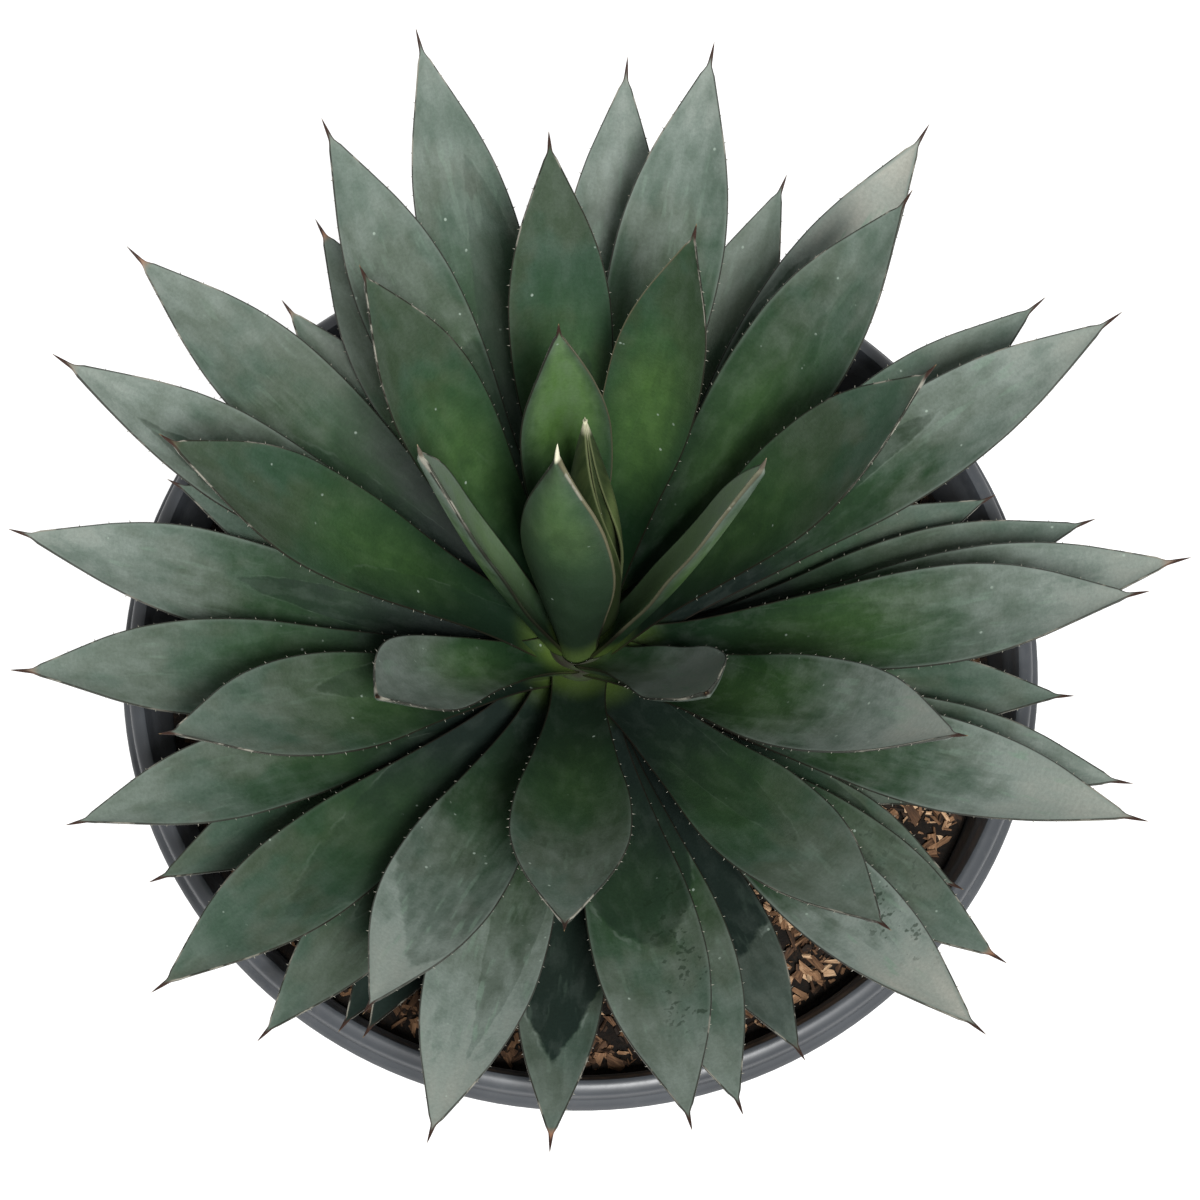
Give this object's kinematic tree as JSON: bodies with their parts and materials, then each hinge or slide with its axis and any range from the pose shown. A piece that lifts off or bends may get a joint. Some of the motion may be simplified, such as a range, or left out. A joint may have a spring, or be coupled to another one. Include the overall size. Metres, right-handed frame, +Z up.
{
  "type": "potted blue glow agave",
  "caption": "Potted succulent: a rosette of stiff, pointed, blue-green leaves on a short stem, rooted in bark soil in a round nursery pot that stands on a flat base.",
  "frame": {"origin": "centre of the pot's underside, on the surface that it stands on", "axes": "+Z up along the pot's axis, +Y towards the back of the plant as the picture shows it, +X to the right of the picture"},
  "size_m": [0.33, 0.3236, 0.3647],
  "materials": {
    "pot": "satin blue-grey charcoal moulded plastic",
    "soil": "dark potting mix with shredded orange-brown bark",
    "stem": "pale green living tissue, dull",
    "young_leaf": "waxy bright green young leaf",
    "leaf": "waxy blue-green leaf with a grey bloom and a dark red-brown spine"
  },
  "bodies": {
    "root": {"pot": "pot", "soil": "soil", "stem": "stem", "spindle": "young_leaf", "leaf_01": "young_leaf", "leaf_02": "young_leaf", "leaf_03": "young_leaf", "leaf_04": "young_leaf", "leaf_05": "young_leaf", "leaf_06": "leaf", "leaf_07": "leaf", "leaf_08": "leaf", "leaf_09": "leaf", "leaf_10": "leaf", "leaf_11": "leaf", "leaf_12": "leaf", "leaf_13": "leaf", "leaf_14": "leaf", "leaf_15": "leaf", "leaf_16": "leaf", "leaf_17": "leaf", "leaf_18": "leaf", "leaf_19": "leaf", "leaf_20": "leaf", "leaf_21": "leaf", "leaf_22": "leaf", "leaf_23": "leaf", "leaf_24": "leaf", "leaf_25": "leaf", "leaf_26": "leaf", "leaf_27": "leaf", "leaf_28": "leaf", "leaf_29": "leaf", "leaf_30": "leaf", "leaf_31": "leaf", "leaf_32": "leaf", "leaf_33": "leaf", "leaf_34": "leaf", "leaf_35": "leaf", "leaf_36": "leaf", "leaf_37": "leaf", "leaf_38": "leaf", "leaf_39": "leaf", "leaf_40": "leaf", "leaf_41": "leaf", "leaf_42": "leaf", "leaf_43": "leaf", "leaf_44": "leaf", "leaf_45": "leaf", "leaf_46": "leaf", "leaf_47": "leaf", "leaf_48": "leaf", "leaf_49": "leaf", "leaf_50": "leaf", "leaf_51": "leaf", "leaf_52": "leaf", "leaf_53": "leaf", "leaf_54": "leaf"}
  },
  "joints": []
}
